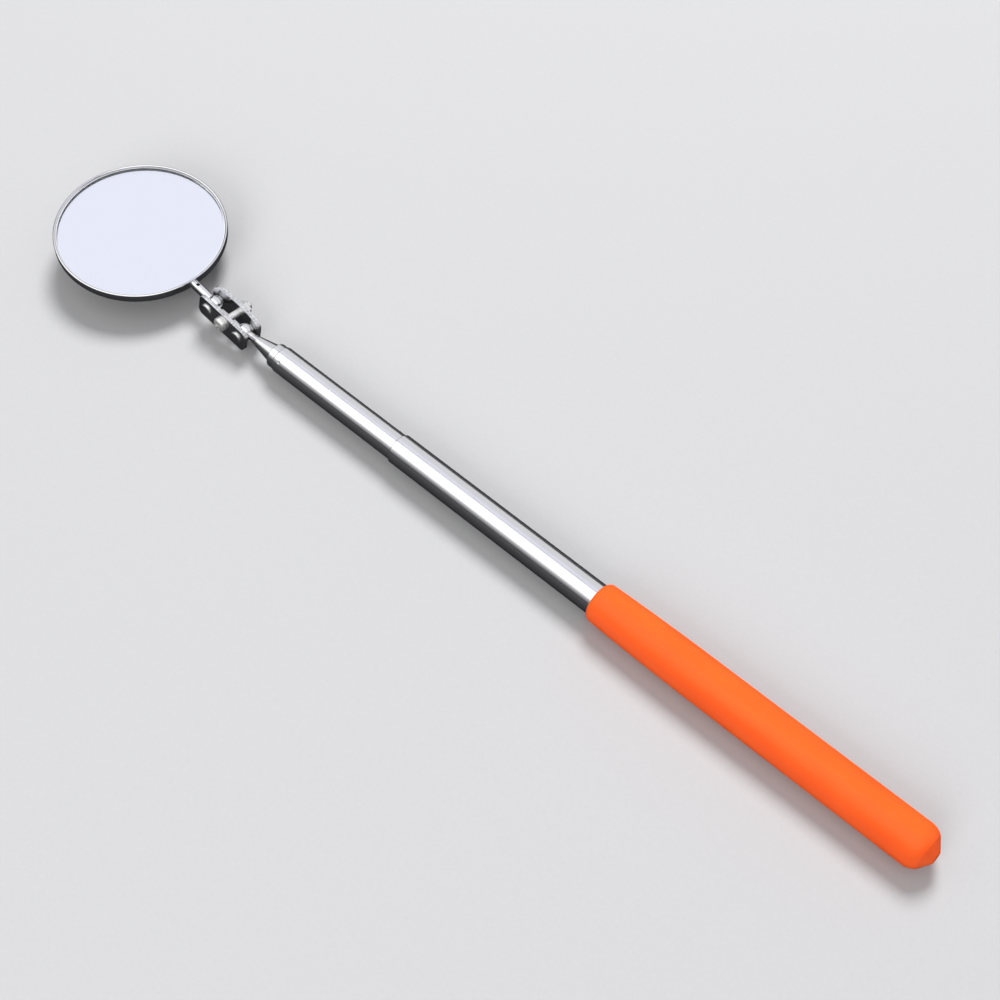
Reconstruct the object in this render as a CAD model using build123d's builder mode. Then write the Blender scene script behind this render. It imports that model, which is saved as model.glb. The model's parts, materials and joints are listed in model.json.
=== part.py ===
from build123d import *
import math
import os

# Telescoping inspection mirror. Millimetres. The handle lies along +X with its closed end
# towards +X and the mirror at the -X end. The origin is on the handle's axis, at the rear
# end of the straight part of the grip. +Z is up from the surface that the tool lies on.
# +Y is the side that the clamp's nut is on.

# ---- handle: vinyl grip on the outer tube -------------------------------------------------
grip_wall = 1.9
grip_straight = 72.0
grip_taper = 38.5
grip_lip_wall = 1.3
grip_lip_round = 1.9
grip_dome = 6.6
grip_shoulder = 4.1
grip_shoulder_step = 1.5
grip_shoulder_bulge = 0.45
grip_tip_radius = 1.8
grip_tip_round = 0.5

# ---- tube nest: outer tube and three sliding stages ---------------------------------------
outer_tube_diameter = 10.0
stage_count = 3
tube_wall = 0.3
stage_gap = 0.2
mouth_clearance = 0.05
mouth_lip = 1.0
mouth_round = 0.4
outer_tube_out = 80.0
first_stage_out = 52.0

plug_head = 1.0
plug_shank = 5.0
plug_chamfer = 0.4

# ---- what each stage carries at its tail --------------------------------------------------
slide_clearance = 0.03
bush_flange = 1.2
bush_shank = 4.0
bush_vent_radius = 1.2
tail_gap = 0.3
sleeve_length = 6.0
sleeve_slit = 1.0
tab_radius = 0.55
tab_clearance = 0.05
tab_depth = 0.2
collapsed_gap = 0.5

# ---- nose and the two balls ---------------------------------------------------------------
nose_length = 17.0
collar_length = 2.6
collar_step = 0.35
collar_round = 0.3
collar_gap = 0.05
cone_base_step = 0.85
neck_radius = 1.3
neck_length = 1.7
nose_spigot = 8.0

ball_radius = 2.8
ball_flat = 2.15
ball_pin_radius = 0.9
ball_pin_length = 1.8
ball_bore_clearance = 0.05
ball_bore_spare = 0.2
ball_pitch = 14.2
joint_clearance = 0.03

# ---- clamp: two plates pulled together by a screw -----------------------------------------
clamp_roll_deg = -5.5
clamp_swing_deg = 10.0
plate_thickness = 1.5
plate_height = 8.4
plate_overhang = 3.6
plate_corner = 2.0
plate_edge_round = 0.2
plate_seat = 2.3
nut_plate_rear = 1.9
nut_plate_front = 2.2
nut_plate_bow = 0.95
spotface_depth = 0.06
spotface_radius = 3.0
dimple_radius = 2.1
dimple_height = 0.85
dimple_round = 0.8

screw_radius = 1.25
screw_hole_clearance = 0.1
screw_head_radius = 2.4
screw_head_height = 1.7
screw_head_round = 1.1
screw_recess_width = 0.7
screw_recess_span = 3.0
screw_recess_depth = 0.9
screw_past_nut = 1.5
screw_end_chamfer = 0.3
thread_clearance = 0.05
head_clearance = 0.02
nut_across_flats = 5.0
nut_height = 2.0
nut_chamfer = 0.25
washer_outer_radius = 2.2
washer_inner_radius = 1.35
washer_thickness = 0.6
washer_slit = 0.5

# ---- mirror head --------------------------------------------------------------------------
mirror_radius = 28.5
stem_pitch_deg = 3.9
stem_yaw_deg = 4.3
stem_length = 11.0
stem_radius = 1.6
stem_slot_width = 1.1
stem_slot_depth = 2.8
cup_height = 3.5
cup_above_stem = 2.0
cup_sheet = 0.5
cup_corner = 1.2
rim_width = 0.8
glass_recess = 0.55
glass_edge_gap = 0.1
glass_thickness = 1.2
glass_bevel_width = 0.6
glass_bevel_depth = 0.2
silver_thickness = 0.05
lug_thickness = 1.0
lug_height = 2.2
lug_reach = 1.5
lug_root = 0.45

# ---- places along the handle's axis -------------------------------------------------------
grip_front_x = -(grip_straight + grip_taper)
outer_mouth_x = grip_front_x - outer_tube_out
nest_mouth_x = outer_mouth_x - first_stage_out
lower_ball_x = nest_mouth_x - nose_length
outer_tube_rear_x = -plug_head
plug_inner_x = outer_tube_rear_x - plug_shank


def tube_radius(stage):
    """Outside radius of a tube: stage 0 is the outer tube."""
    return outer_tube_diameter / 2 - stage * (tube_wall + stage_gap)


def bore_radius(stage):
    return tube_radius(stage) - tube_wall


def stage_end_x(stage):
    """Rear face of a stage's tail bush."""
    first = plug_inner_x - first_stage_out + collapsed_gap
    return first - (stage - 1) * (bush_flange + bush_shank + tail_gap)


def stage_tube_rear_x(stage):
    return stage_end_x(stage) - bush_flange


grip_radius = tube_radius(0) + grip_wall
grip_lip_radius = tube_radius(0) + grip_lip_wall
grip_shoulder_radius = grip_radius - grip_shoulder_step
collar_radius = tube_radius(1) - collar_step
cone_base_radius = collar_radius - cone_base_step

# ---- planes -------------------------------------------------------------------------------
# Sections of round pieces on the handle's axis are drawn as (x, radius) on Plane.XZ.
roll = math.radians(clamp_roll_deg)
swing = math.radians(clamp_swing_deg)
across_clamp = Vector(0, math.cos(roll), math.sin(roll))
above_nose = Vector(0, -math.sin(roll), math.cos(roll))
along_clamp = Vector(-math.cos(swing), 0, 0) + above_nose * math.sin(swing)
clamp_up = across_clamp.cross(along_clamp)
lower_ball_centre = Vector(lower_ball_x, 0, 0)
upper_ball_centre = lower_ball_centre + along_clamp * ball_pitch

# local x runs from the lower ball to the upper, y is up, z is across to the nut's side
clamp_side = Plane(origin=lower_ball_centre, x_dir=along_clamp, z_dir=across_clamp)
# local x the same, y is across, seen from below
clamp_top = Plane(origin=lower_ball_centre, x_dir=along_clamp, z_dir=-clamp_up)
across_axis = Axis(lower_ball_centre, across_clamp)

pitch = math.radians(stem_pitch_deg)
yaw = math.radians(stem_yaw_deg)
towards_mirror = Vector(
    -math.cos(yaw) * math.cos(pitch),
    math.sin(yaw) * math.cos(pitch),
    math.sin(pitch),
)
across_mirror = Vector(math.sin(yaw), math.cos(yaw), 0)
mirror_up = across_mirror.cross(towards_mirror)
mirror_distance = stem_length + mirror_radius
mirror_centre = upper_ball_centre + towards_mirror * mirror_distance

# the same pair of planes for the stem, from the upper ball towards the mirror
stem_side = Plane(origin=upper_ball_centre, x_dir=towards_mirror, z_dir=across_mirror)
stem_top = Plane(origin=upper_ball_centre, x_dir=towards_mirror, z_dir=-mirror_up)
# section through the mirror head: (distance from the mirror's axis, height above the stem)
mirror_section = Plane(origin=mirror_centre, x_dir=towards_mirror, z_dir=across_mirror)
mirror_axis = Axis(mirror_centre, mirror_up)


def save(piece, name):
    piece.part.label = name
    export_step(piece.part, f"parts/{name}.step")


os.makedirs("parts", exist_ok=True)

# ---- grip ---------------------------------------------------------------------------------
with BuildPart() as grip:
    with BuildSketch(Plane.XZ):
        with BuildLine():
            front_arc_x = grip_front_x + grip_lip_round
            face_radius = grip_lip_radius - grip_lip_round
            start = Line((0, 0), (grip_front_x, 0))
            front = Line(start @ 1, (grip_front_x, face_radius))
            lip = RadiusArc(front @ 1, (front_arc_x, grip_lip_radius), grip_lip_round)
            taper = TangentArc((-grip_straight, grip_radius), lip @ 1, tangent=(-1, 0))
            straight = Line(taper @ 0, (0, grip_radius))
            shoulder = SagittaArc(
                straight @ 1, (grip_shoulder, grip_shoulder_radius), grip_shoulder_bulge
            )
            cone = Line(shoulder @ 1, (grip_dome, grip_tip_radius))
            end = Line(cone @ 1, (grip_dome, 0))
            Line(end @ 1, start @ 0)
        make_face()
        fillet(vertices().group_by(Axis.X)[-1].sort_by(Axis.Y)[-1], radius=grip_tip_round)
    revolve(axis=Axis.X)
    with BuildSketch(Plane.YZ.offset(grip_front_x)):
        Circle(tube_radius(0))
    extrude(amount=-grip_front_x, mode=Mode.SUBTRACT)
save(grip, "grip")


# ---- tubes --------------------------------------------------------------------------------
def build_tube(stage, mouth_x, rear_x, has_mouth):
    """A thin tube whose mouth, if it has one, is rolled in around the next stage."""
    outside = tube_radius(stage)
    inside = bore_radius(stage)
    mouth = tube_radius(stage + 1) + mouth_clearance if has_mouth else inside
    with BuildPart() as tube:
        with BuildSketch(Plane.XZ):
            with BuildLine():
                Polyline(
                    (mouth_x, mouth),
                    (mouth_x, outside),
                    (rear_x, outside),
                    (rear_x, inside),
                    (mouth_x + mouth_lip, inside),
                    (mouth_x + mouth_lip / 2, mouth),
                    close=True,
                )
            make_face()
            if has_mouth:
                fillet(vertices().group_by(Axis.X)[0].sort_by(Axis.Y)[-1], radius=mouth_round)
        revolve(axis=Axis.X)
        if stage > 0:
            with BuildSketch(Plane.XY):
                with Locations((rear_x - sleeve_length / 2, 0)):
                    Circle(tab_radius + tab_clearance)
            extrude(amount=outside, both=True, mode=Mode.SUBTRACT)
    return tube


def build_bush(stage):
    """Brass tail bush: a shank pressed in the tube's tail and a flange that rides in its parent."""
    rear_x = stage_tube_rear_x(stage)
    with BuildPart() as bush:
        with BuildSketch(Plane.YZ.offset(rear_x)):
            Circle(bore_radius(stage - 1) - slide_clearance)
        extrude(amount=bush_flange)
        with BuildSketch(Plane.YZ.offset(rear_x)):
            Circle(bore_radius(stage))
        extrude(amount=-bush_shank)
        with BuildSketch(Plane.YZ.offset(rear_x - bush_shank)):
            Circle(bush_vent_radius)
        extrude(amount=bush_shank + bush_flange, mode=Mode.SUBTRACT)
    return bush


def build_sleeve(stage):
    """Springy split sleeve around a tube's tail, held by two tabs in the tube's wall."""
    rear_x = stage_tube_rear_x(stage)
    inside = tube_radius(stage)
    outside = bore_radius(stage - 1) - slide_clearance
    middle_x = rear_x - sleeve_length / 2
    with BuildPart() as sleeve:
        with BuildSketch(Plane.YZ.offset(rear_x - sleeve_length)):
            Circle(outside)
            Circle(inside, mode=Mode.SUBTRACT)
        extrude(amount=sleeve_length)
        with BuildSketch(Plane.XZ):
            with Locations((middle_x, 0)):
                Rectangle(sleeve_length, sleeve_slit)
        extrude(amount=-outside, mode=Mode.SUBTRACT)
        for side in (Plane.XY, Plane.XY.rotated((180, 0, 0))):
            with BuildSketch(side.offset(inside - tab_depth)):
                with Locations((middle_x, 0)):
                    Circle(tab_radius)
            extrude(amount=tab_depth + (outside - inside) / 2)
    return sleeve


outer_tube = build_tube(0, outer_mouth_x, outer_tube_rear_x, True)
save(outer_tube, "outer_tube")

stage_names = ("first", "second", "third")
for number in range(1, stage_count + 1):
    word = stage_names[number - 1]
    is_last = number == stage_count
    stage_tube = build_tube(number, nest_mouth_x, stage_tube_rear_x(number), not is_last)
    save(stage_tube, f"{word}_stage_tube")
    stage_bush = build_bush(number)
    save(stage_bush, f"{word}_tail_bush")
    stage_sleeve = build_sleeve(number)
    save(stage_sleeve, f"{word}_friction_sleeve")

with BuildPart() as tube_plug:
    with BuildSketch(Plane.YZ.offset(outer_tube_rear_x)):
        Circle(tube_radius(0))
    extrude(amount=plug_head)
    with BuildSketch(Plane.YZ.offset(outer_tube_rear_x)):
        Circle(bore_radius(0))
    extrude(amount=-plug_shank)
    chamfer(edges().group_by(Axis.X)[0], length=plug_chamfer)
save(tube_plug, "tube_plug")

# ---- nose cone ----------------------------------------------------------------------------
with BuildPart() as nose_cone:
    with BuildSketch(Plane.XZ):
        with BuildLine():
            collar_rear_x = nest_mouth_x - collar_gap
            collar_front_x = collar_rear_x - collar_length
            neck_front_x = lower_ball_x + ball_flat + joint_clearance
            spigot_radius = bore_radius(stage_count)
            Polyline(
                (neck_front_x - ball_pin_length, 0),
                (neck_front_x - ball_pin_length, ball_pin_radius),
                (neck_front_x, ball_pin_radius),
                (neck_front_x, neck_radius),
                (neck_front_x + neck_length, neck_radius),
                (collar_front_x, cone_base_radius),
                (collar_front_x, collar_radius),
                (collar_rear_x, collar_radius),
                (collar_rear_x, spigot_radius),
                (nest_mouth_x + nose_spigot, spigot_radius),
                (nest_mouth_x + nose_spigot, 0),
                close=True,
            )
        make_face()
        collar_corners = vertices().filter_by_position(
            Axis.Y, collar_radius - joint_clearance, collar_radius + joint_clearance
        )
        fillet(collar_corners, radius=collar_round)
    revolve(axis=Axis.X)
save(nose_cone, "nose_cone")


# ---- balls --------------------------------------------------------------------------------
def build_ball(centre, towards_pin):
    """A steel ball with a flat and a blind bore, pressed on the pin that points at it."""
    face = Plane(origin=centre + towards_pin * ball_flat, z_dir=towards_pin)
    with BuildPart() as ball:
        with Locations(centre):
            Sphere(ball_radius)
        with BuildSketch(face):
            Circle(ball_radius)
        extrude(amount=ball_radius, mode=Mode.SUBTRACT)
        with BuildSketch(face):
            Circle(ball_pin_radius + ball_bore_clearance)
        extrude(amount=-(ball_pin_length + ball_bore_spare), mode=Mode.SUBTRACT)
    return ball


lower_ball = build_ball(lower_ball_centre, Vector(1, 0, 0))
save(lower_ball, "lower_ball")
upper_ball = build_ball(upper_ball_centre, towards_mirror)
save(upper_ball, "upper_ball")

# ---- clamp plates -------------------------------------------------------------------------
plate_middle = ball_pitch / 2
plate_length = ball_pitch + 2 * plate_overhang
ball_places = [(0, 0), (ball_pitch, 0)]


def sink_sockets():
    """Round seats for both balls, sunk in the plate being built."""
    with Locations(lower_ball_centre, upper_ball_centre):
        Sphere(ball_radius + joint_clearance, mode=Mode.SUBTRACT)


with BuildPart() as screw_side_plate:
    outer_face = clamp_side.offset(-plate_seat - plate_thickness)
    with BuildSketch(outer_face):
        with Locations((plate_middle, 0)):
            RectangleRounded(plate_length, plate_height, plate_corner)
    extrude(amount=plate_thickness)
    fillet(edges().group_by(across_axis)[0], radius=plate_edge_round)
    with BuildSketch(outer_face):
        with Locations(*ball_places):
            Circle(dimple_radius)
    extrude(amount=-dimple_height)
    fillet(edges().group_by(across_axis)[0], radius=dimple_round)
    sink_sockets()
    with BuildSketch(outer_face):
        with Locations((plate_middle, 0)):
            Circle(screw_radius + screw_hole_clearance)
    extrude(amount=plate_thickness, mode=Mode.SUBTRACT)
save(screw_side_plate, "screw_side_plate")


def nut_plate_inside(along):
    """Distance of the bowed plate's inner face from the clamp's middle plane."""
    share = (along + plate_overhang) / plate_length
    level = nut_plate_rear + (nut_plate_front - nut_plate_rear) * share
    return level + 4 * nut_plate_bow * share * (1 - share)


nut_plate_crest = nut_plate_inside(plate_middle) + plate_thickness
nut_seat = nut_plate_crest - spotface_depth
with BuildPart() as nut_side_plate:
    with BuildSketch(clamp_top):
        with BuildLine():
            inner = ThreePointArc(
                (-plate_overhang, nut_plate_rear),
                (plate_middle, nut_plate_inside(plate_middle)),
                (ball_pitch + plate_overhang, nut_plate_front),
            )
            front_end = Line(inner @ 1, inner @ 1 + (0, plate_thickness))
            outer = ThreePointArc(
                front_end @ 1,
                (plate_middle, nut_plate_crest),
                inner @ 0 + (0, plate_thickness),
            )
            Line(outer @ 1, inner @ 0)
        make_face()
    extrude(amount=plate_height / 2, both=True)
    with BuildSketch(clamp_side):
        with Locations((plate_middle, 0)):
            RectangleRounded(plate_length, plate_height, plate_corner)
    extrude(amount=plate_height, mode=Mode.INTERSECT)
    for along, level in ball_places:
        with BuildSketch(clamp_side.offset(nut_plate_inside(along) + plate_thickness / 2)):
            with Locations((along, level)):
                Circle(dimple_radius)
        extrude(amount=plate_thickness / 2 + dimple_height)
        dimple_edges = edges(Select.LAST).group_by(across_axis)
        fillet(dimple_edges[-1], radius=dimple_round)
    sink_sockets()
    with BuildSketch(clamp_side):
        with Locations((plate_middle, 0)):
            Circle(screw_radius + screw_hole_clearance)
    extrude(amount=plate_height, mode=Mode.SUBTRACT)
    with BuildSketch(clamp_side.offset(nut_seat)):
        with Locations((plate_middle, 0)):
            Circle(spotface_radius)
    extrude(amount=plate_thickness, mode=Mode.SUBTRACT)
save(nut_side_plate, "nut_side_plate")

# ---- clamp fasteners ----------------------------------------------------------------------
nut_inner = nut_seat + washer_thickness
screw_under_head = plate_seat + plate_thickness + head_clearance
screw_end = nut_inner + nut_height + screw_past_nut

with BuildPart() as clamp_screw:
    with BuildSketch(clamp_side.offset(-screw_under_head)):
        with Locations((plate_middle, 0)):
            Circle(screw_head_radius)
    extrude(amount=-screw_head_height)
    fillet(edges().group_by(across_axis)[0], radius=screw_head_round)
    with BuildSketch(clamp_side.offset(-screw_under_head)):
        with Locations((plate_middle, 0)):
            Circle(screw_radius)
    extrude(amount=screw_under_head + screw_end)
    chamfer(edges().group_by(across_axis)[-1], length=screw_end_chamfer)
    with BuildSketch(clamp_side.offset(-screw_under_head - screw_head_height)):
        with Locations((plate_middle, 0)):
            Rectangle(screw_recess_span, screw_recess_width, rotation=45)
            Rectangle(screw_recess_span, screw_recess_width, rotation=-45)
    extrude(amount=screw_recess_depth, mode=Mode.SUBTRACT)
save(clamp_screw, "clamp_screw")

with BuildPart() as spring_washer:
    with BuildSketch(clamp_side.offset(nut_seat)):
        with Locations((plate_middle, 0)):
            Circle(washer_outer_radius)
            Circle(washer_inner_radius, mode=Mode.SUBTRACT)
        with Locations((plate_middle - washer_outer_radius, 0)):
            Rectangle(washer_outer_radius * 2, washer_slit, mode=Mode.SUBTRACT)
    extrude(amount=washer_thickness)
save(spring_washer, "spring_washer")

with BuildPart() as clamp_nut:
    with BuildSketch(clamp_side.offset(nut_inner)):
        with Locations((plate_middle, 0)):
            RegularPolygon(nut_across_flats / 2, 6, major_radius=False, rotation=30)
    extrude(amount=nut_height)
    chamfer(edges().group_by(across_axis)[-1], length=nut_chamfer)
    with BuildSketch(clamp_side.offset(nut_inner)):
        with Locations((plate_middle, 0)):
            Circle(screw_radius + thread_clearance)
    extrude(amount=nut_height, mode=Mode.SUBTRACT)
save(clamp_nut, "clamp_nut")

# ---- mirror stem --------------------------------------------------------------------------
stem_start = ball_flat + joint_clearance
stem_face = Plane(
    origin=upper_ball_centre + towards_mirror * stem_start, z_dir=towards_mirror
)
with BuildPart() as mirror_stem:
    with BuildSketch(stem_face):
        Circle(stem_radius)
    extrude(amount=stem_length - stem_start)
    with BuildSketch(stem_face):
        Circle(ball_pin_radius)
    extrude(amount=-ball_pin_length)
    with BuildSketch(stem_top.offset(-stem_radius)):
        with Locations((stem_length - stem_slot_depth / 2, 0)):
            Rectangle(stem_slot_depth, stem_slot_width)
    extrude(amount=2 * stem_radius, mode=Mode.SUBTRACT)
save(mirror_stem, "mirror_stem")

# ---- mirror cup and what it holds ---------------------------------------------------------
cup_top = cup_above_stem
cup_bottom = cup_top - cup_height
cup_bore = mirror_radius - cup_sheet
floor_top = cup_bottom + cup_sheet
rim_round = rim_width / 2
rim_inner = mirror_radius - rim_width
glass_radius = cup_bore - glass_edge_gap
glass_top = cup_top - glass_recess
glass_bottom = glass_top - glass_thickness
silver_bottom = glass_bottom - silver_thickness


def bevel_height(radius):
    """Height of the line that the glass's bevel and the rim's underside share."""
    start = glass_radius - glass_bevel_width
    return glass_top - glass_bevel_depth * (radius - start) / glass_bevel_width


with BuildPart() as mirror_cup:
    with BuildSketch(mirror_section):
        with BuildLine():
            base = Line((0, cup_bottom), (mirror_radius - cup_corner, cup_bottom))
            corner = RadiusArc(base @ 1, (mirror_radius, cup_bottom + cup_corner), -cup_corner)
            wall = Line(corner @ 1, (mirror_radius, cup_top - rim_round))
            rim = ThreePointArc(
                wall @ 1, (mirror_radius - rim_round, cup_top), (rim_inner, cup_top - rim_round)
            )
            inner_corner = cup_corner - cup_sheet
            inside = Polyline(
                rim @ 1,
                (rim_inner, bevel_height(rim_inner)),
                (cup_bore, bevel_height(cup_bore)),
                (cup_bore, floor_top + inner_corner),
            )
            inner_arc = RadiusArc(inside @ 1, (cup_bore - inner_corner, floor_top), inner_corner)
            floor_line = Line(inner_arc @ 1, (0, floor_top))
            Line(floor_line @ 1, base @ 0)
        make_face()
    revolve(axis=mirror_axis)
    with BuildSketch(stem_side.offset(-lug_thickness / 2)):
        with Locations((stem_length - (lug_reach - lug_root) / 2, 0)):
            Rectangle(lug_reach + lug_root, lug_height)
    extrude(amount=lug_thickness)
save(mirror_cup, "mirror_cup")

with BuildPart() as mirror_glass:
    with BuildSketch(mirror_section):
        with BuildLine():
            Polyline(
                (0, glass_bottom),
                (glass_radius, glass_bottom),
                (glass_radius, bevel_height(glass_radius)),
                (glass_radius - glass_bevel_width, glass_top),
                (0, glass_top),
                close=True,
            )
        make_face()
    revolve(axis=mirror_axis)
save(mirror_glass, "mirror_glass")

with BuildPart() as silver_coating:
    with BuildSketch(mirror_section):
        with Locations((glass_radius / 2, (glass_bottom + silver_bottom) / 2)):
            Rectangle(glass_radius, silver_thickness)
    revolve(axis=mirror_axis)
save(silver_coating, "silver_coating")

pad_radius = cup_bore - inner_corner
pad_thickness = silver_bottom - floor_top
with BuildPart() as backing_pad:
    with BuildSketch(mirror_section):
        with Locations((pad_radius / 2, floor_top + pad_thickness / 2)):
            Rectangle(pad_radius, pad_thickness)
    revolve(axis=mirror_axis)
save(backing_pad, "backing_pad")
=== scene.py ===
import json
import math

import bmesh
import bpy
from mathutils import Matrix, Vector


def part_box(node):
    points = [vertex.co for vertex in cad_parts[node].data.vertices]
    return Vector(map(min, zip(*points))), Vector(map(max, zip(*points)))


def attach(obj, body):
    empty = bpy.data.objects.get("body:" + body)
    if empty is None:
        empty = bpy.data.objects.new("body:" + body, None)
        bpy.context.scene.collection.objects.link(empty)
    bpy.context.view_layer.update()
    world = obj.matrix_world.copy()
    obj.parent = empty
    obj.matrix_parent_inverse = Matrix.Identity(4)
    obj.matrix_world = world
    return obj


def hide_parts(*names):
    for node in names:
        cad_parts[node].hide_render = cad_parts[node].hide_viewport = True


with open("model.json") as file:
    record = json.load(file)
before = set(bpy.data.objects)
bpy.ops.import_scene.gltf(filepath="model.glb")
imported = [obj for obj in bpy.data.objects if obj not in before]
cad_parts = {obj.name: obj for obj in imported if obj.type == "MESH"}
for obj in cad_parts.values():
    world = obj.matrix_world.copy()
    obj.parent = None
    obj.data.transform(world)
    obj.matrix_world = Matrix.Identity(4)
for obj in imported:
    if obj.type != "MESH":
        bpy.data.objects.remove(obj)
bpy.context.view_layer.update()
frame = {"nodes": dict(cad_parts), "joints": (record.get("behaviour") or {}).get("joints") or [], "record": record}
nodes = frame["nodes"]
joints = {joint["name"]: joint for joint in frame["joints"]}

MM = 0.001
EVEN = (1, 1, 1)

# ---- sizes that the pieces below share with the frame, in millimetres ----------------------
tube_wall = 0.3
mouth_clearance = 0.05
collar_gap = 0.05
mouth_lip = 1.0
mouth_round = 0.4
grip_taper = 38.5
grip_straight = 72.0
grip_lip_round = 1.9
grip_lip_step = 0.6
grip_shoulder = 4.1
grip_shoulder_step = 1.5
grip_shoulder_bulge = 0.45
grip_tip_radius = 1.8
grip_tip_round = 0.5
neck_radius = 1.3
neck_length = 1.7
collar_length = 2.6
collar_round = 0.3
cone_base_step = 0.85
nose_spigot = 8.0
ball_radius = 2.8
ball_flat = 2.15
pin_radius = 0.9
pin_length = 1.8
bore_clearance = 0.05
bore_spare = 0.2
stem_length = 11.0
cup_radius = 28.5
cup_height = 3.5
cup_above_stem = 2.0
cup_sheet = 0.5
cup_corner = 1.2
rim_width = 0.8
glass_recess = 0.55
glass_edge_gap = 0.1
glass_thickness = 1.2
glass_bevel_width = 0.6
glass_bevel_depth = 0.2
silver_thickness = 0.05
silver_gap = 0.012
lug_thickness = 1.0
lug_height = 2.2
lug_reach = 1.5
lug_root = 0.45
lug_round = 0.2

# ---- how finely round pieces are cut, and the angles in degrees that stay sharp edges ------
round_segments = 144
mirror_segments = 240
taper_steps = 16
round_crease = 9.0
glass_crease = 5.0
cup_crease = 20.0


# ---- node materials -----------------------------------------------------------------------
def material(name, color, metallic, roughness, **sockets):
    """A Principled material, its tree and its shader."""
    mat = bpy.data.materials.new(name)
    mat.use_nodes = True
    tree = mat.node_tree
    shader = tree.nodes["Principled BSDF"]
    shader.inputs["Base Color"].default_value = (*color, 1)
    shader.inputs["Metallic"].default_value = metallic
    shader.inputs["Roughness"].default_value = roughness
    for socket, value in sockets.items():
        shader.inputs[socket.replace("_", " ")].default_value = value
    return mat, tree, shader


def coordinates(tree, scale):
    """Object coordinates, scaled by axis, so that a pattern can be stretched."""
    source = tree.nodes.new("ShaderNodeTexCoord")
    mapping = tree.nodes.new("ShaderNodeMapping")
    mapping.inputs["Scale"].default_value = scale
    tree.links.new(source.outputs["Object"], mapping.inputs["Vector"])
    return mapping.outputs["Vector"]


def noise(tree, vector, scale, detail=3.0, roughness=0.5):
    """Fractal noise, most of it between 0.3 and 0.7."""
    tex = tree.nodes.new("ShaderNodeTexNoise")
    tex.inputs["Scale"].default_value = scale
    tex.inputs["Detail"].default_value = detail
    tex.inputs["Roughness"].default_value = roughness
    tree.links.new(vector, tex.inputs["Vector"])
    return tex.outputs["Fac"]


def remap(tree, value, low, high, to_low=0.0, to_high=1.0):
    """A value moved from one range to another, and held inside it."""
    node = tree.nodes.new("ShaderNodeMapRange")
    node.inputs["From Min"].default_value = low
    node.inputs["From Max"].default_value = high
    node.inputs["To Min"].default_value = to_low
    node.inputs["To Max"].default_value = to_high
    tree.links.new(value, node.inputs["Value"])
    return node.outputs["Result"]


def stretch(tree, pattern, low, high):
    """A noise's usual range stretched over the range from low to high."""
    return remap(tree, pattern, 0.3, 0.7, low, high)


def calculate(tree, operation, *values):
    """The result of a math node on one or more sockets."""
    node = tree.nodes.new("ShaderNodeMath")
    node.operation = operation
    for index, value in enumerate(values):
        tree.links.new(value, node.inputs[index])
    return node.outputs[0]


def mix_color(tree, factor, first, second):
    """A mix of two colours, each of them a colour or a socket."""
    node = tree.nodes.new("ShaderNodeMix")
    node.data_type = "RGBA"
    tree.links.new(factor, node.inputs["Factor"])
    for letter, color in (("A", first), ("B", second)):
        if isinstance(color, tuple):
            node.inputs[letter].default_value = (*color, 1)
        else:
            tree.links.new(color, node.inputs[letter])
    return node.outputs["Result"]


def bump(tree, shader, height, distance, below=None):
    """Relief of a depth in metres, on top of the relief below it."""
    node = tree.nodes.new("ShaderNodeBump")
    node.inputs["Distance"].default_value = distance
    tree.links.new(height, node.inputs["Height"])
    if below is not None:
        tree.links.new(below, node.inputs["Normal"])
    tree.links.new(node.outputs["Normal"], shader.inputs["Normal"])
    return node.outputs["Normal"]


def facing(tree, direction):
    """How squarely the surface faces a direction or its opposite, from 0 to 1."""
    source = tree.nodes.new("ShaderNodeTexCoord")
    dot = tree.nodes.new("ShaderNodeVectorMath")
    dot.operation = "DOT_PRODUCT"
    dot.inputs[1].default_value = direction
    tree.links.new(source.outputs["Normal"], dot.inputs[0])
    return calculate(tree, "ABSOLUTE", dot.outputs["Value"])


def metal(name, color, roughness, grain, grain_scale, depth, spread=0.06, metallic=1.0):
    """Metal with fine grain: grain gives how the pattern stretches along each axis."""
    mat, tree, shader = material(name, color, metallic, roughness)
    lines = noise(tree, coordinates(tree, grain), grain_scale, 4.0, 0.6)
    cloud = noise(tree, coordinates(tree, EVEN), 180.0, 2.0)
    rough = stretch(tree, lines, roughness - spread / 2, roughness + spread)
    tree.links.new(rough, shader.inputs["Roughness"])
    dim = tuple(0.93 * channel for channel in color)
    tree.links.new(mix_color(tree, cloud, dim, color), shader.inputs["Base Color"])
    bump(tree, shader, lines, depth)
    return mat


def sheared_plate(name, across):
    """Pressed plate: smooth dark faces, and pale sheared edges with rough grain."""
    mat, tree, shader = material(name, (0.6, 0.6, 0.6), 1.0, 0.25)
    face = remap(tree, facing(tree, across), 0.55, 0.9)
    tree.links.new(remap(tree, face, 0.0, 1.0, 0.34, 0.22), shader.inputs["Roughness"])
    grain = noise(tree, coordinates(tree, EVEN), 1000.0, 5.0, 0.75)
    torn = mix_color(tree, remap(tree, grain, 0.38, 0.62), (0.5, 0.5, 0.5), (1, 1, 1))
    finish = mix_color(tree, face, torn, (0.64, 0.64, 0.65))
    tree.links.new(finish, shader.inputs["Base Color"])
    rolled = noise(tree, coordinates(tree, (0.1, 1, 1)), 2600.0)
    fine = bump(tree, shader, rolled, 4e-6)
    torn_relief = calculate(tree, "MULTIPLY", grain, remap(tree, face, 0.0, 1.0, 1.0, 0.15))
    bump(tree, shader, torn_relief, 1.6e-4, below=fine)
    return mat


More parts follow.
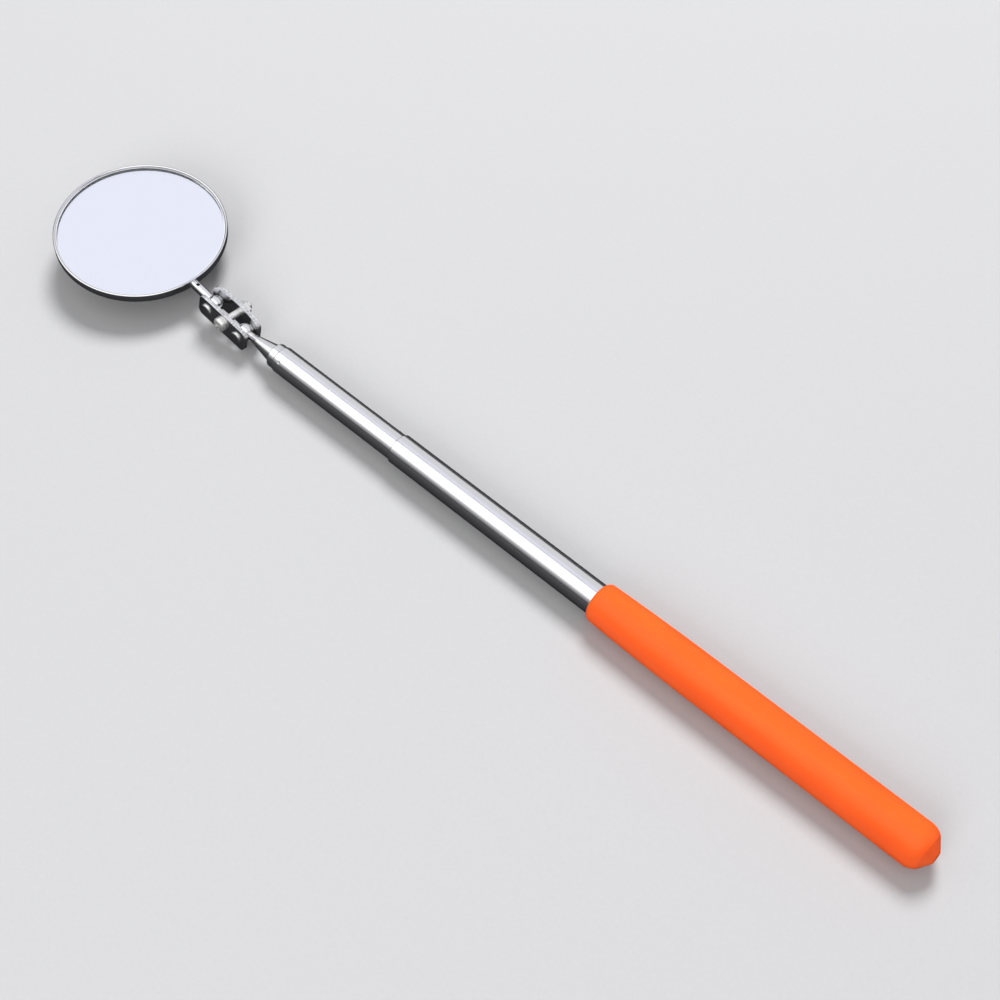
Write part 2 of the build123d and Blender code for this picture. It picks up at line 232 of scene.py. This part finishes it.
def dipped_vinyl():
    """Mottled orange with a faint skin and slow ripples along the handle."""
    mat, tree, shader = material(
        "vinyl", (0.88, 0.095, 0.006), 0.0, 0.5, Subsurface_Weight=0.12, Subsurface_Scale=0.002
    )
    shader.inputs["Subsurface Radius"].default_value = (1.0, 0.35, 0.1)
    mottle = noise(tree, coordinates(tree, (0.25, 1, 1)), 160.0)
    skin = noise(tree, coordinates(tree, EVEN), 2600.0, 2.0, 0.4)
    ripple = noise(tree, coordinates(tree, (0.5, 1, 1)), 260.0, 1.0, 0.3)
    deep, light = (0.86, 0.088, 0.004), (0.9, 0.104, 0.007)
    shade = mix_color(tree, stretch(tree, mottle, 0.0, 1.0), deep, light)
    tree.links.new(shade, shader.inputs["Base Color"])
    tree.links.new(stretch(tree, mottle, 0.44, 0.54), shader.inputs["Roughness"])
    slow = bump(tree, shader, ripple, 6e-5)
    bump(tree, shader, skin, 1.2e-5, below=slow)
    return mat


def moulded(name, color, roughness, grain_scale, depth):
    """A dull moulded plastic or rubber with an even grain."""
    mat, tree, shader = material(name, color, 0.0, roughness)
    bump(tree, shader, noise(tree, coordinates(tree, EVEN), grain_scale), depth)
    return mat


def silvering():
    """A bright mirror with a trace of unevenness."""
    mat, tree, shader = material("silver", (0.97, 0.97, 0.985), 1.0, 0.015)
    spots = noise(tree, coordinates(tree, EVEN), 60.0, 1.0)
    tree.links.new(remap(tree, spots, 0.2, 0.8, 0.01, 0.03), shader.inputs["Roughness"])
    return mat


def clear_glass():
    """Float glass with a little dust on it."""
    mat, tree, shader = material(
        "glass", (0.985, 1.0, 0.995), 0.0, 0.0, Transmission_Weight=1.0, IOR=1.52
    )
    dust = noise(tree, coordinates(tree, EVEN), 700.0, 5.0, 0.7)
    tree.links.new(remap(tree, dust, 0.55, 0.8, 0.0, 0.04), shader.inputs["Roughness"])
    return mat


def ground_glass():
    """The ground bevel around the glass, which scatters light and looks white."""
    mat, tree, shader = material("ground_edge", (0.93, 0.94, 0.96), 0.0, 0.5)
    frost = noise(tree, coordinates(tree, EVEN), 3000.0)
    white = mix_color(tree, frost, (0.44, 0.45, 0.47), (0.60, 0.61, 0.64))
    tree.links.new(white, shader.inputs["Base Color"])
    bump(tree, shader, frost, 2e-5)
    return mat


def studio_paper():
    """Pale paper. Polished metal sees it nearly black: a painted dark reflection that stands in for a dark studio
    around it.
    """
    mat, tree, shader = material("paper", (0.5, 0.5, 0.5), 0.0, 0.8)
    grain = noise(tree, coordinates(tree, EVEN), 900.0)
    path = tree.nodes.new("ShaderNodeLightPath")
    pale = mix_color(tree, grain, (0.40, 0.40, 0.405), (0.43, 0.43, 0.435))
    # painted dark reflection: glossy rays get a near-black paper colour, so the metal shows dark edges
    paper_with_painted_dark_reflection = mix_color(tree, path.outputs["Is Glossy Ray"], pale, (0.012, 0.012, 0.014))
    tree.links.new(paper_with_painted_dark_reflection, shader.inputs["Base Color"])
    return mat


across_clamp = Vector(joints["lower_swing"]["axis"]).normalized()

tube_chrome = metal("tube_chrome", (0.88, 0.88, 0.89), 0.16, (0.02, 1, 1), 4200.0, 8e-7)
nose_chrome = metal("nose_chrome", (0.84, 0.84, 0.84), 0.17, (1, 0.03, 0.03), 5200.0, 1.6e-6)
ball_steel = metal("ball_steel", (0.86, 0.86, 0.87), 0.14, EVEN, 1500.0, 1e-6)
plate_steel = sheared_plate("plate_steel", across_clamp)
screw_zinc = metal("screw_zinc", (0.92, 0.92, 0.90), 0.36, EVEN, 1500.0, 2.5e-5, 0.16, 0.85)
stem_steel = metal("stem_steel", (0.88, 0.88, 0.89), 0.20, (1, 0.05, 0.05), 4200.0, 2e-6)
cup_chrome = metal("cup_chrome", (0.84, 0.84, 0.85), 0.08, EVEN, 900.0, 1e-6, 0.04)
brass = metal("brass", (0.72, 0.55, 0.26), 0.25, (1, 0.05, 0.05), 4200.0, 3e-6)
bronze = metal("bronze", (0.62, 0.38, 0.20), 0.30, EVEN, 2200.0, 3e-6)

vinyl = dipped_vinyl()
plug_black = moulded("plug_black", (0.03, 0.03, 0.03), 0.6, 2400.0, 1e-5)
pad_black = moulded("pad_black", (0.04, 0.04, 0.04), 0.85, 1800.0, 3e-5)
silver = silvering()
glass = clear_glass()
ground = ground_glass()

finishes = {
    "vinyl_grip": vinyl,
    "polished_tube": tube_chrome,
    "plug_plastic": plug_black,
    "brass_bush": brass,
    "bronze_sleeve": bronze,
    "nose_plate": nose_chrome,
    "ball_steel": ball_steel,
    "clamp_steel": plate_steel,
    "screw_steel": screw_zinc,
    "nut_steel": screw_zinc,
    "stem_steel": stem_steel,
    "cup_plate": cup_chrome,
    "pad_rubber": pad_black,
    "clear_glass": glass,
    "mirror_silver": silver,
}
slots = {part["node"]: part["material_slot"] for part in frame["record"]["subparts"]}
bodies = frame["record"]["behaviour"]["bodies"]
homes = {member: body for body, members in bodies.items() for member in members}
for name, node in nodes.items():
    node.data.materials.clear()
    node.data.materials.append(finishes[slots[name]])


# ---- turned pieces ------------------------------------------------------------------------
def arc(centre, radius, start, end, steps=12):
    """Points on an arc, with its angles in degrees from the direction along the axis."""
    points = []
    for i in range(steps + 1):
        angle = math.radians(start + (end - start) * i / steps)
        points.append((centre[0] + radius * math.cos(angle), centre[1] + radius * math.sin(angle)))
    return points


def turned(
    node,
    profile,
    centre,
    axis,
    loop=False,
    segments=round_segments,
    sharp=round_crease,
    shape=None,
):
    """A round piece that stands for a node: (distance along, radius) points in millimetres,
    turned about an axis through centre. A loop profile doesn't touch the axis."""
    work = bmesh.new()
    side = axis.orthogonal().normalized()
    other = axis.cross(side)
    rings = []
    for along, radius in profile:
        middle = centre + axis * (along * MM)
        if radius == 0:
            rings.append([work.verts.new(middle)])
            continue
        ring = []
        for k in range(segments):
            angle = 2 * math.pi * k / segments
            out = side * math.cos(angle) + other * math.sin(angle)
            reach = radius if shape is None else radius + shape(along, radius, out)
            ring.append(work.verts.new(middle + out * (reach * MM)))
        rings.append(ring)
    pairs = list(zip(rings, rings[1:]))
    if loop:
        pairs.append((rings[-1], rings[0]))
    for low, high in pairs:
        for k in range(segments):
            corners = [low[k % len(low)], low[(k + 1) % len(low)]]
            corners += [high[(k + 1) % len(high)], high[k % len(high)]]
            work.faces.new(list(dict.fromkeys(corners)))
    bmesh.ops.recalc_face_normals(work, faces=work.faces)
    mesh = bpy.data.meshes.new(node + "_turned")
    work.to_mesh(mesh)
    work.free()
    mesh.materials.append(finishes[slots[node]])
    for face in mesh.polygons:
        face.use_smooth = True
    mesh.set_sharp_from_angle(angle=math.radians(sharp))
    piece = bpy.data.objects.new(node + "_turned", mesh)
    bpy.context.scene.collection.objects.link(piece)
    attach(piece, homes[node])
    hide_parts(node)
    return piece


ORIGIN = Vector((0, 0, 0))
ALONG = Vector((1, 0, 0))


def place(node):
    """Where a piece on the handle's axis starts and ends, and its radius, in millimetres."""
    low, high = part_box(node)
    return low.x / MM, high.x / MM, high.z / MM


# grip: a blind vinyl sleeve with a rolled front lip and a coned end
grip_front, grip_end, grip_radius = place("grip")
_, _, tube_radius = place("outer_tube")
lip_radius = grip_radius - grip_lip_step
lip_centre = (grip_front + grip_lip_round, lip_radius - grip_lip_round)
lip_start = 180 - math.degrees(math.asin((tube_radius - lip_centre[1]) / grip_lip_round))
taper_run = grip_taper - grip_lip_round
taper_bend = (taper_run**2 + grip_lip_step**2) / (2 * grip_lip_step)
taper = []
for i in range(1, taper_steps):
    back = taper_run * (1 - i / taper_steps)
    drop = taper_bend - math.sqrt(taper_bend**2 - back**2)
    taper.append((-grip_straight - back, grip_radius - drop))
shoulder_end = (grip_shoulder, grip_radius - grip_shoulder_step)
shoulder_chord = math.hypot(grip_shoulder, grip_shoulder_step)
shoulder_bend = shoulder_chord**2 / (8 * grip_shoulder_bulge) + grip_shoulder_bulge / 2
shoulder_slope = math.degrees(math.atan2(grip_shoulder_step, grip_shoulder))
shoulder_half = math.degrees(math.asin(shoulder_chord / 2 / shoulder_bend))
shoulder_from = 90 - shoulder_slope + shoulder_half
shoulder_to = 90 - shoulder_slope - shoulder_half
shoulder_centre = (
    -shoulder_bend * math.cos(math.radians(shoulder_from)),
    grip_radius - shoulder_bend * math.sin(math.radians(shoulder_from)),
)
cone_slope = math.atan2(shoulder_end[1] - grip_tip_radius, grip_end - shoulder_end[0])
tip_set_back = grip_tip_round * math.tan((math.pi / 2 - cone_slope) / 2)
tip_centre = (grip_end - grip_tip_round, grip_tip_radius - tip_set_back)
tip_from = 90 - math.degrees(cone_slope)
turned(
    "grip",
    [(0, 0), (0, tube_radius)]
    + arc(lip_centre, grip_lip_round, lip_start, 90, 14)
    + taper
    + [(-grip_straight, grip_radius)]
    + arc(shoulder_centre, shoulder_bend, shoulder_from, shoulder_to)
    + arc(tip_centre, grip_tip_round, tip_from, 0)
    + [(grip_end, 0)],
    ORIGIN,
    ALONG,
)

# tubes: each mouth is rolled in around the next stage, except the last
stake_back = 2.4
stake_angle = math.radians(45)
stake_radius = 0.65
stake_depth = 0.1


def tube_profile(node, inner_node, rings=()):
    """Closed section of a tube, with extra rings where its wall is shaped."""
    mouth_x, rear_x, outside = place(node)
    inside = outside - tube_wall
    wall = [(x, outside) for x in rings] + [(rear_x, outside), (rear_x, inside)]
    wall += [(x, inside) for x in reversed(rings)]
    if inner_node is None:
        return [(mouth_x, inside), (mouth_x, outside)] + wall
    mouth = place(inner_node)[2] + mouth_clearance
    roll = arc((mouth_x + mouth_round, outside - mouth_round), mouth_round, 180, 90)
    throat = [(mouth_x + mouth_lip, inside), (mouth_x + mouth_lip / 2, mouth)]
    return [(mouth_x, mouth)] + roll + wall + throat


stage_mouth, _, stage_radius = place("first_stage_tube")
stake_x = stage_mouth + stake_back
punch = Vector((0, -math.sin(stake_angle), math.cos(stake_angle)))


def stake(along, radius, out):
    """A punch mark on the near upper side of the first stage, close to its mouth. It
    doesn't reach the inside of the wall, where the next stage's sleeve passes."""
    distance = math.hypot(along - stake_x, stage_radius * out.angle(punch))
    if distance > stake_radius or radius < stage_radius - tube_wall / 2:
        return 0.0
    return -stake_depth * (1 + math.cos(math.pi * distance / stake_radius)) / 2


stake_steps = range(-6, 7)
stake_rings = [stake_x + stake_radius * i / stake_steps[-1] for i in stake_steps]
nest = ["outer_tube", "first_stage_tube", "second_stage_tube", "third_stage_tube", None]
for node, inner_node in zip(nest, nest[1:]):
    marked = node == "first_stage_tube"
    profile = tube_profile(node, inner_node, stake_rings if marked else ())
    turned(node, profile, ORIGIN, ALONG, loop=True, shape=stake if marked else None)

# nose cone: a pin for the ball, a neck, a cone and a collar that stops at the tubes' mouths
pin_end, spigot_end, collar_radius = place("nose_cone")
neck_front = pin_end + pin_length
spigot_radius = place("third_stage_tube")[2] - tube_wall
collar_rear = place("third_stage_tube")[0] - collar_gap
collar_front = collar_rear - collar_length
collar_band = collar_radius - collar_round
turned(
    "nose_cone",
    [(pin_end, 0), (pin_end, pin_radius), (neck_front, pin_radius), (neck_front, neck_radius)]
    + [(neck_front + neck_length, neck_radius), (collar_front, collar_radius - cone_base_step)]
    + arc((collar_front + collar_round, collar_band), collar_round, 180, 90)
    + arc((collar_rear - collar_round, collar_band), collar_round, 90, 0)
    + [(collar_rear, spigot_radius), (spigot_end, spigot_radius), (spigot_end, 0)],
    ORIGIN,
    ALONG,
)

# balls: each has a flat and a blind bore for its pin
flat_angle = math.degrees(math.acos(ball_flat / ball_radius))
bore_radius = pin_radius + bore_clearance
bore_floor = ball_flat - pin_length - bore_spare
ball_profile = (
    [(-ball_radius, 0)]
    + arc((0, 0), ball_radius, 180, flat_angle, 40)[1:]
    + [(ball_flat, bore_radius), (bore_floor, bore_radius), (bore_floor, 0)]
)
lower_centre = Vector(joints["lower_swing"]["pos_m"])
upper_centre = Vector(joints["upper_swing"]["pos_m"])
to_mirror = Vector(joints["mirror_turn"]["axis"]).normalized()
turned("lower_ball", ball_profile, lower_centre, ALONG)
turned("upper_ball", ball_profile, upper_centre, to_mirror)

# ---- mirror head --------------------------------------------------------------------------
across_mirror = Vector((-to_mirror.y, to_mirror.x, 0)).normalized()
mirror_up = across_mirror.cross(to_mirror)
if mirror_up.z < 0:
    mirror_up.negate()
mirror_centre = upper_centre + to_mirror * ((stem_length + cup_radius) * MM)
cup_bottom = cup_above_stem - cup_height
cup_bore = cup_radius - cup_sheet
floor_top = cup_bottom + cup_sheet
rim_round = rim_width / 2
rim_inner = cup_radius - rim_width
glass_radius = cup_bore - glass_edge_gap
glass_top = cup_above_stem - glass_recess
glass_bottom = glass_top - glass_thickness
bevel_start = glass_radius - glass_bevel_width


def bevel_height(radius):
    """Height of the line that the glass's bevel and the rim's underside share."""
    return glass_top - glass_bevel_depth * (radius - bevel_start) / glass_bevel_width


# the cup's section, with heights above the stem's axis
cup = turned(
    "mirror_cup",
    [(cup_bottom, 0)]
    + arc((cup_bottom + cup_corner, cup_radius - cup_corner), cup_corner, 180, 90, 12)
    + arc((cup_above_stem - rim_round, cup_radius - rim_round), rim_round, 90, -90, 24)
    + [(bevel_height(rim_inner), rim_inner), (bevel_height(cup_bore), cup_bore)]
    + arc((cup_bottom + cup_corner, cup_radius - cup_corner), cup_corner - cup_sheet, 90, 180, 8)
    + [(floor_top, 0)],
    mirror_centre,
    mirror_up,
    segments=mirror_segments,
)


def add_lug(mesh):
    """The lug that the stem's slot holds, with its edges rounded, joined to the cup's wall."""
    work = bmesh.new()
    work.from_mesh(mesh)
    corners = bmesh.ops.create_cube(work, size=1.0)["verts"]
    middle = upper_centre + to_mirror * ((stem_length - (lug_reach - lug_root) / 2) * MM)
    for corner in corners:
        along, across, up = corner.co
        corner.co = (
            middle
            + to_mirror * (along * (lug_reach + lug_root) * MM)
            + across_mirror * (across * lug_thickness * MM)
            + mirror_up * (up * lug_height * MM)
        )
    edges = list({edge for corner in corners for edge in corner.link_edges})
    bmesh.ops.bevel(
        work, geom=edges, offset=lug_round * MM, segments=3, affect="EDGES", profile=0.5
    )
    bmesh.ops.recalc_face_normals(work, faces=work.faces)
    work.to_mesh(mesh)
    work.free()
    for face in mesh.polygons:
        face.use_smooth = True
    mesh.set_sharp_from_angle(angle=math.radians(cup_crease))


add_lug(cup.data)

# the glass and its coating meet face to face in the frame: here they are a hair apart
mirror_face = turned(
    "mirror_glass",
    [
        (glass_bottom + silver_gap, 0),
        (glass_bottom + silver_gap, glass_radius),
        (bevel_height(glass_radius), glass_radius),
        (glass_top, bevel_start),
        (glass_top, 0),
    ],
    mirror_centre,
    mirror_up,
    segments=mirror_segments,
    sharp=glass_crease,
)
mirror_face.data.materials.append(ground)
for face in mirror_face.data.polygons:
    offset = face.center - mirror_centre
    height = offset.dot(mirror_up) / MM
    radius = (offset - mirror_up * offset.dot(mirror_up)).length / MM
    if radius > bevel_start and height > glass_bottom + glass_thickness / 2:
        face.material_index = 1
turned(
    "silver_coating",
    [
        (glass_bottom - silver_thickness, 0),
        (glass_bottom - silver_thickness, glass_radius),
        (glass_bottom, glass_radius),
        (glass_bottom, 0),
    ],
    mirror_centre,
    mirror_up,
    segments=mirror_segments,
)

# ---- floor --------------------------------------------------------------------------------
floor_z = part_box("grip")[0].z
floor_reach = 3.0
corners = [(-floor_reach, -floor_reach), (floor_reach, -floor_reach)]
corners += [(floor_reach, floor_reach), (-floor_reach, floor_reach)]
mesh = bpy.data.meshes.new("floor")
mesh.from_pydata([(x, y, floor_z) for x, y in corners], [], [(0, 1, 2, 3)])
mesh.materials.append(studio_paper())
floor = bpy.data.objects.new("floor", mesh)
bpy.context.scene.collection.objects.link(floor)

# ---- light --------------------------------------------------------------------------------
# A soft key behind the tool casts its shadow forwards. The bright metal sees only the
# studio's panels, which run along the handle and are laid out by the angle around it.
target = Vector((-0.17, 0.0, 0.0))
lamps = [
    ("key", Vector((-0.75, 1.05, 1.75)), 0.9, 56.0),
    ("fill", Vector((0.15, -1.1, 0.75)), 0.8, 10.0),
]
for name, spot, size, watts in lamps:
    light = bpy.data.lights.new(name, "AREA")
    light.shape = "DISK"
    light.size = size
    light.energy = watts
    lamp = bpy.data.objects.new(name, light)
    lamp.location = spot
    lamp.rotation_euler = (target - spot).to_track_quat("-Z", "Y").to_euler()
    lamp.visible_glossy = False
    lamp.visible_transmission = False
    bpy.context.scene.collection.objects.link(lamp)

world = bpy.data.worlds.new("studio")
world.use_nodes = True
bpy.context.scene.world = world
tree = world.node_tree
back = tree.nodes["Background"]
source = tree.nodes.new("ShaderNodeTexCoord")
split = tree.nodes.new("ShaderNodeSeparateXYZ")
tree.links.new(source.outputs["Generated"], split.inputs["Vector"])
around = calculate(tree, "ARCTAN2", split.outputs["Y"], split.outputs["Z"])
ramp = tree.nodes.new("ShaderNodeValToRGB")
tree.links.new(remap(tree, around, -math.pi / 2, math.pi / 2), ramp.inputs["Fac"])
tree.links.new(ramp.outputs["Color"], back.inputs["Color"])

# where each panel starts and ends, in degrees from straight up, with the far side positive
dark = (0.03, 0.03, 0.035)
near_panel = (1.0, 1.0, 1.0)
gap = (0.34, 0.34, 0.36)
cool_panel = (0.572, 0.572, 0.655)
far_panel = (0.50, 0.50, 0.515)
panel_edges = [
    (-86, dark),
    (-76, (0.14, 0.14, 0.145)),
    (-58, (0.42, 0.42, 0.43)),
    (-48, near_panel),
    (6, near_panel),
    (10, gap),
    (13, gap),
    (16, cool_panel),
    (32, cool_panel),
    (36, far_panel),
    (80, far_panel),
    (86, dark),
]
for element in ramp.color_ramp.elements:
    element.color = (*dark, 1)
for degrees, color in panel_edges:
    ramp.color_ramp.elements.new(0.5 + degrees / 180).color = (*color, 1)

# the panels end before the handle's own direction, and light soft surfaces less than metal
panel_end, panel_fade, end_light = 0.80, 0.88, 0.06
metal_light, soft_light = 1.5, 0.75
along_handle = calculate(tree, "ABSOLUTE", split.outputs["X"])
open_sides = remap(tree, along_handle, panel_end, panel_fade, 1.0, end_light)
path = tree.nodes.new("ShaderNodeLightPath")
strength = remap(tree, path.outputs["Is Diffuse Ray"], 0.0, 1.0, metal_light, soft_light)
level = calculate(tree, "MULTIPLY", strength, open_sides)
tree.links.new(level, back.inputs["Strength"])
bpy.context.scene.view_settings.view_transform = "Standard"

# ---- camera -------------------------------------------------------------------------------
camera_place = Vector((0.0476, -0.2128, 0.4265))
azimuth = math.radians(42.65)
elevation = math.radians(55.0)
level_view = Vector((-math.sin(azimuth), math.cos(azimuth), 0))
forward = level_view * math.cos(elevation) - Vector((0, 0, math.sin(elevation)))
camera_data = bpy.data.cameras.new("camera")
camera_data.lens = 62.7
camera_data.sensor_width = 36.0
camera_data.clip_start = 0.01
camera = bpy.data.objects.new("camera", camera_data)
camera.location = camera_place
camera.rotation_euler = forward.to_track_quat("-Z", "Y").to_euler()
bpy.context.scene.collection.objects.link(camera)
bpy.context.scene.camera = camera
